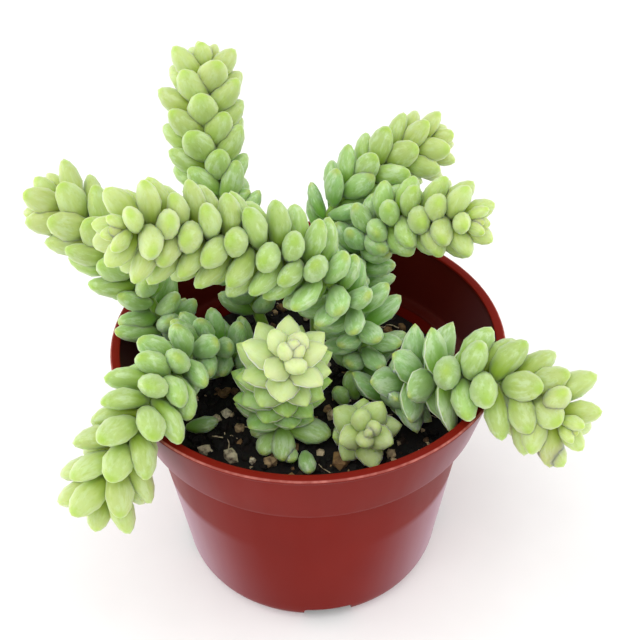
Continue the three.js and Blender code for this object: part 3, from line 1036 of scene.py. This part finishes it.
def waxyLeaf():
    # juicy leaf under a thin wax bloom: young leaves yellow-green, old ones a cooler green, light soaks in
    # and comes back soft;
    # the foot of a leaf is clear green and partly painted shade, the rest pale with bloom, its tip a clear
    # spot
    material, tree = newMaterial("waxyLeaf")
    read = {name: readAttribute(tree, name)
            for name in ("age", "along", "tint", "side", "face", "edge", "rim", "bloom")}
    clear = colourRamp(tree, read["age"],
                       [(0.0, "#A9BE4E"), (0.35, "#97B23C"), (0.7, "#8AB03E"), (1.0, "#74A440")])
    pale = colourRamp(tree, read["age"],
                      [(0.0, "#C3D090"), (0.35, "#B4C780"), (0.7, "#AECB84"), (1.0, "#A9CB92")])
    # place inside the leaf, so that streaks run along it and differ from leaf to leaf
    shift = calculate(tree, "MULTIPLY", read["tint"], 61.0)
    level = calculate(tree, "MULTIPLY_ADD", read["along"], 0.9, shift)
    local = addNode(tree, "ShaderNodeCombineXYZ", inputs={
        "X": read["side"], "Y": read["face"], "Z": level})
    place = local.outputs["Vector"]
    streaks = makeNoise(tree, place, 3.2, 5.0, 0.6)
    rise = calculate(tree, "MULTIPLY_ADD", streaks, 0.5, read["along"])
    # the foot of a leaf is clear green and the rest pale with bloom; the darker foot is also painted shade
    # where neighbours crowd it
    blended = mixColours(tree, smoothRange(tree, rise, 0.45, 1.0, 0.75), clear, pale)
    varied = addNode(tree, "ShaderNodeHueSaturation", inputs={
        "Hue": mapRange(tree, read["tint"], 0.0, 1.0, 0.494, 0.506),
        "Value": mapRange(tree, read["tint"], 0.0, 1.0, 0.93, 1.05), "Color": blended})
    # the bloom lies in pale patches over the outer half, thicker on old leaves
    patches = smoothRange(tree, makeNoise(tree, place, 2.4, 4.0, 0.65), 0.44, 0.64)
    patches = calculate(tree, "MULTIPLY", patches, smoothRange(tree, read["along"], 0.3, 0.7))
    patches = calculate(tree, "MULTIPLY", patches, mapRange(tree, read["age"], 0.0, 1.0, 0.2, 0.6))
    misted = mixColours(tree, patches, varied.outputs["Color"], "#D6E6C8")
    # clear green freckles where it is rubbed off
    freckles = smoothRange(tree, makeNoise(tree, place, 6.0, 3.0), 0.54, 0.74, 0.45)
    freckled = mixColours(tree, freckles, misted, clear)
    tipColour = colourRamp(tree, read["age"], [(0.0, "#A6C44A"), (0.6, "#93B43C"), (1.0, "#A3AC48")])
    tipped = mixColours(tree, smoothRange(tree, read["along"], 0.87, 1.0, 0.7), freckled, tipColour)
    # painted sheen: where the leaf turns away from the camera its colour is mixed towards a pale skin,
    # standing in for the sheen of the bloom
    facing = addNode(tree, "ShaderNodeLayerWeight", inputs={"Blend": 0.5}).outputs["Facing"]
    paintedSheenColour = mixColours(tree, 0.35, pale, "#E6F2DC")
    sheenPainted = mixColours(tree, smoothRange(tree, facing, 0.25, 0.9, 0.65), tipped, paintedSheenColour)
    # painted light: the low shoots in the pot stand in shade, and are mixed towards cream at the bud and
    # fresh green below
    paintedLightColour = colourRamp(tree, read["age"], [(0.0, "#F0F7D0"), (0.5, "#AEE86C")])
    lightPainted = mixColours(tree, read["bloom"], sheenPainted, paintedLightColour)
    # the pale margin wears off as a leaf ages
    worn = calculate(tree, "MULTIPLY_ADD", read["age"], -0.35, 1.0)
    margin = calculate(tree, "MULTIPLY", read["rim"], worn)
    rim = calculate(tree, "MULTIPLY", smoothRange(tree, read["edge"], 0.935, 0.975, 0.9), margin)
    finishMaterial(tree, {
        "Base Color": mixColours(tree, rim, lightPainted, "#F6FBE8"),
        "Roughness": mapRange(tree, streaks, 0.35, 0.7, 0.4, 0.55),
        "Normal": makeRelief(tree, streaks, 0.15, 0.15 * mm),
        "IOR": 1.42,
        "Specular IOR Level": 0.45,
        "Subsurface Weight": 0.7,
        "Subsurface Radius": (0.8, 1.0, 0.25),
        "Subsurface Scale": 4.0 * mm,
        "Sheen Weight": 0.12,
        "Sheen Roughness": 0.4,
        "Sheen Tint": linearColour("#F2F6E4"),
    })
    return material


leafMaterial = waxyLeaf()
wanted = []
for order, (name, shoot) in enumerate(shoots.items()):
    wanted += listLeaves(name, shoot, random.Random(shootBuild["seed"] + order))
# the higher a leaf sits, the sooner it takes its room
wanted.sort(key=lambda leaf: -leaf["point"].z)
grown = {name: [makeStem(name, stems[name])] for name in shoots}
for name, shoot in shoots.items():
    for root, tip, width in shoot.get("loose", ()):
        grown[name].append(layLooseLeaf(name, shoot, root, tip, width))
for leaf in wanted:
    part = placeLeaf(leaf)
    if part:
        grown[leaf["shoot"]].append(part)
for name, parts in grown.items():
    piece = joinAll(pieceName(name), parts)
    print(piece.name, len(parts) - 1, "leaves")
    piece.data.materials.clear()
    piece.data.materials.append(leafMaterial)
    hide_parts(name)
    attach(piece, "root")
print("shoots grown")


fallenLeaves = {
    "fallen_leaf_left": {"degrees": -80, "length": 9.5},
    "fallen_leaf_front": {"degrees": 190, "length": 9},
}
fallenLook = {"widthShare": 0.55, "curve": 0.1, "age": 1.0, "tint": 0.2}


def makeFallenLeaf(name, leaf):
    low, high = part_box(name)
    length = leaf["length"] * mm
    width = fallenLook["widthShare"] * length
    angle = math.radians(leaf["degrees"])
    along = Vector((-math.sin(angle), math.cos(angle), 0))
    point = (Vector(low) + Vector(high)) / 2 - along * length / 2
    place = leafMatrix(point, along, Vector((0, 0, 1)), 0.0, length, width, math.pi)
    piece = copyPart(leafModels["plump"], place)
    bendLeaf(piece, fallenLook["curve"], length, width)
    applyPlace(piece)
    piece.name = pieceName(name)
    giveAttribute(piece, "age", fallenLook["age"])
    giveAttribute(piece, "tint", fallenLook["tint"])
    return piece


for name, leaf in fallenLeaves.items():
    piece = makeFallenLeaf(name, leaf)
    piece.data.materials.append(leafMaterial)
    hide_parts(name)
    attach(piece, "root")
for model in leafModels.values():
    bpy.data.objects.remove(model)
print("fallen leaves laid")


stage = {
    "floorSize": 3.0,
    "worldStrength": 0.86,
    "aim": (0, 0, 0.08),
    "lights": {
        # softbox overhead towards the viewer and a strip on each side
        "overhead": {"power": 16.0, "size": 1.6, "place": (-0.35, -0.95, 1.65)},
        "stripLeft": {"power": 1.5, "size": 0.5, "place": (-0.7, 0.1, 0.25)},
        "stripRight": {"power": 1.5, "size": 0.5, "place": (0.7, 0.1, 0.25)},
    },
}


def matteBoard():
    # white seamless board: flat, without shine
    material, tree = newMaterial("matteBoard")
    fibre = makeNoise(tree, objectPlace(tree), 40.0)
    finishMaterial(tree, {
        "Base Color": colourRamp(tree, fibre, [(0.3, "#F6F6F5"), (0.7, "#F9F9F8")]),
        "Roughness": 0.9,
    })
    return material


def addLight(name, power, size, place, aim):
    light = bpy.data.lights.new(name, "AREA")
    light.energy = power
    light.size = size
    holder = bpy.data.objects.new(name, light)
    bpy.context.collection.objects.link(holder)
    holder.location = place
    holder.rotation_euler = (Vector(aim) - Vector(place)).to_track_quat("-Z", "Y").to_euler()
    return holder


deselectAll()
bpy.ops.mesh.primitive_plane_add(size=stage["floorSize"], location=(0, 0, 0))
floor = bpy.context.object
floor.name = "floor"
floor.data.materials.append(matteBoard())
world = bpy.data.worlds.new("softRoom")
world.use_nodes = True
world.node_tree.nodes["Background"].inputs["Color"].default_value = (1, 1, 1, 1)
world.node_tree.nodes["Background"].inputs["Strength"].default_value = stage["worldStrength"]
bpy.context.scene.world = world
for name, light in stage["lights"].items():
    addLight(name, light["power"], light["size"], light["place"], stage["aim"])
bpy.context.scene.view_settings.view_transform = "Standard"
print("stage lit")
